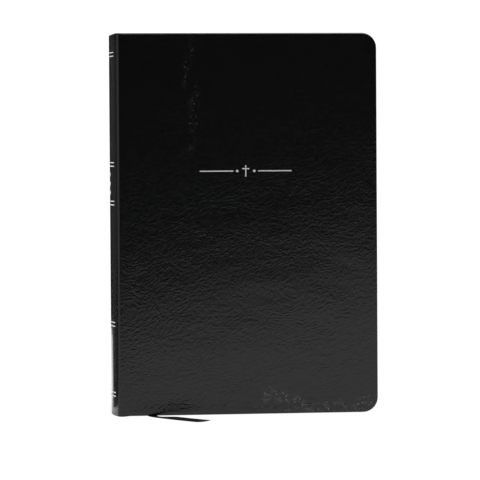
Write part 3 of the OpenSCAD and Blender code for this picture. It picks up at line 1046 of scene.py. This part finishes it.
def leaf_bundle(name, lo, hi, thick):
    """One bundle of leaves at the origin's depth, with fine columns near the spine."""
    gutter = np.concatenate([np.linspace(0, 0.22, 19), np.linspace(0.22, 1, 8)[1:]])
    x, z = round_grid(lo.x, gutter, hi.x, lo.z, hi.z, LEAF_R, 2, corner_steps=6)
    points, faces, face_count = closed_sheet(x, z, 0.0, thick)
    piece = make_piece(name, points, faces, bible_paper)
    soften(piece, 30)
    cut = piece.data.attributes.new("cut_edge", "BOOLEAN", "FACE")
    cut.data.foreach_set("value", [n >= face_count for n in range(len(faces))])
    map_points(piece, [((p[0] - lo.x) / (hi.x - lo.x), (p[2] - lo.z) / (hi.z - lo.z)) for p in points])
    return piece


def leaf_group(node, seed):
    """The bundles that fill one packed run of leaves, and the run's box."""
    lo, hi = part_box(node)
    count = round((hi.y - lo.y) / BUNDLE_T)
    pitch = (hi.y - lo.y) / count
    piece = leaf_bundle(f"{node}_paper", lo, hi, pitch - BUNDLE_AIR)
    values = {
        "Leaf count": count,
        "Leaf pitch": pitch,
        "First leaf": (0, lo.y, 0),
        "Unevenness": UNEVENNESS,
        "Seed": seed,
        "Paper": bible_paper,
        "Gilding": gilt,
    }
    run_tree(piece, leaf_stack, values)
    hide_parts(node)
    return piece, lo, hi


stacked = 0
for side, sign in SIDES.items():
    for k in (1, 2, 3, 4):
        body = f"{side}_leaves_{k}"
        piece, lo, hi = leaf_group(body, 10 * k + (sign > 0))
        depth = HALF_T - min(abs(lo.y), abs(hi.y))
        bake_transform(piece)
        stacked += len(piece.data.polygons)
middle, _, _ = leaf_group("middle_leaves", MIDDLE_SEED)
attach(middle, "book_spine")
print("leaf faces:", stacked + len(middle.data.polygons))

# %% [markdown]
# ## Headband and tailband
# A headband is a narrow tape with a bead of thread wound over a core. The bead covers the ends of the leaves
# at the back of the block, in stripes of two colours. The windings repeat, so a node tree lays one ring of
# thread after another, each colour in turn.

# %% Wind the two bands
THREAD_PITCH = 0.75 * MM
THREAD_R = THREAD_PITCH / 2 * 1.05
BEAD_R = 0.95 * MM
WOUND_R = BEAD_R - 0.2 * MM
BEAD_INSET = 1.0 * MM
TAPE_HALF_T = 0.2 * MM
TAPE_ROUND = 0.12 * MM


def winding_tree():
    """Lays one ring of thread after another along the bead, in stripes of two colours."""
    inputs = [
        ("Turns", "NodeSocketInt", 20),
        ("Turn pitch", "NodeSocketFloat", THREAD_PITCH),
        ("First turn", "NodeSocketVector", (0, 0, 0)),
        ("Turns to a stripe", "NodeSocketInt", 3),
        ("Light thread", "NodeSocketMaterial", None),
        ("Dark thread", "NodeSocketMaterial", None),
    ]
    group, given = new_tree("thread_winding", inputs)
    row = row_along_y(group, given["Turns"], given["First turn"], given["Turn pitch"])
    number = add(group, "GeometryNodeInputIndex")
    counting = {0: number, 1: given["Turns to a stripe"]}
    stripe = add(group, "ShaderNodeMath", counting, operation="DIVIDE")
    whole = add(group, "ShaderNodeMath", {0: stripe}, operation="FLOOR")
    odd = add(group, "ShaderNodeMath", {0: whole, 1: 2.0}, operation="MODULO")
    mark = {"Geometry": row, "Name": "dark_turn", "Value": odd}
    marked = add(group, "GeometryNodeStoreNamedAttribute", mark, data_type="FLOAT", domain="POINT")
    rings = {"Points": marked, "Instance": given["Geometry"]}
    wound = add(group, "GeometryNodeInstanceOnPoints", rings)
    solid = add(group, "GeometryNodeRealizeInstances", {0: wound})
    turn = add(group, "GeometryNodeInputNamedAttribute", {"Name": "dark_turn"}, data_type="FLOAT")
    is_dark = add(group, "FunctionNodeCompare", {0: turn, 1: 0.5}, operation="GREATER_THAN")
    two_materials(group, solid, given["Light thread"], is_dark, given["Dark thread"])
    return group


def thread_ring(name, x, z, radius, thread_r):
    """One turn of thread round the bead, about an axis along Y."""
    points, faces = [], []
    around, across = 14, 6
    for i in range(around):
        a = 2 * math.pi * i / around
        for j in range(across):
            b = 2 * math.pi * j / across
            r = radius + thread_r * 0.6 * math.cos(b)
            points.append((x + r * math.cos(a), thread_r * math.sin(b), z + r * math.sin(a)))
    for i in range(around):
        for j in range(across):
            p, q = i * across, ((i + 1) % around) * across
            faces.append((p + j, p + (j + 1) % across, q + (j + 1) % across, q + j))
    return make_piece(name, points, faces, band_silver)


def tape(name, lo, hi, material):
    """A thin woven tape as a solid with rounded edges."""
    work = bmesh.new()
    bmesh.ops.create_cube(work, size=1.0)
    for vertex in work.verts:
        for axis in range(3):
            vertex.co[axis] = lo[axis] if vertex.co[axis] < 0 else hi[axis]
    bmesh.ops.bevel(work, geom=work.edges[:], offset=TAPE_ROUND, segments=2, affect="EDGES")
    mesh = bpy.data.meshes.new(name)
    work.to_mesh(mesh)
    work.free()
    mesh.materials.append(material)
    piece = bpy.data.objects.new(name, mesh)
    bpy.context.collection.objects.link(piece)
    return piece


winding = winding_tree()
for node, up_sign in (("headband", 1), ("tailband", -1)):
    lo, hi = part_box(node)
    bead_x = (lo.x + hi.x) / 2
    bead_z = hi.z - BEAD_INSET if up_sign > 0 else lo.z + BEAD_INSET
    gaps = int((hi.y - lo.y - THREAD_PITCH) / THREAD_PITCH)
    ring = thread_ring(f"{node}_thread", bead_x, bead_z, WOUND_R, THREAD_R)
    values = {
        "Turns": gaps + 1,
        "Turn pitch": THREAD_PITCH,
        "First turn": (0, -gaps * THREAD_PITCH / 2, 0),
        "Turns to a stripe": 3,
        "Light thread": band_silver,
        "Dark thread": band_black,
    }
    run_tree(ring, winding, values)
    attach(ring, "book_spine")
    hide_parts(node)
    tape_lo = Vector((bead_x - TAPE_HALF_T, lo.y, lo.z if up_sign > 0 else bead_z))
    tape_hi = Vector((bead_x + TAPE_HALF_T, hi.y, bead_z if up_sign > 0 else hi.z))
    woven_tape = tape(f"{node}_tape", tape_lo, tape_hi, mull)
    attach(woven_tape, "book_spine")
    print(node, "turns:", gaps + 1)

# %% [markdown]
# ## Pieces that keep their own shape
# The foil lines, the cards, the mull, the threads and the lining are already the right shape in the packed
# model, so they only take their materials.

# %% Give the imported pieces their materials
KEPT = {
    "spine_foil_bands": foil,
    "spine_foil_diamonds": foil,
    "front_foil_ornament": shaded_foil,
    "spine_inlay": grey_board,
    "front_cover_board": grey_board,
    "back_cover_board": grey_board,
    "spine_lining": lining_paper,
    "mull_cloth": mull,
    "sewing_threads": linen,
}
for node, material in KEPT.items():
    for material_slot in frame["nodes"][node].material_slots:
        material_slot.material = material
print("kept pieces:", len(KEPT))
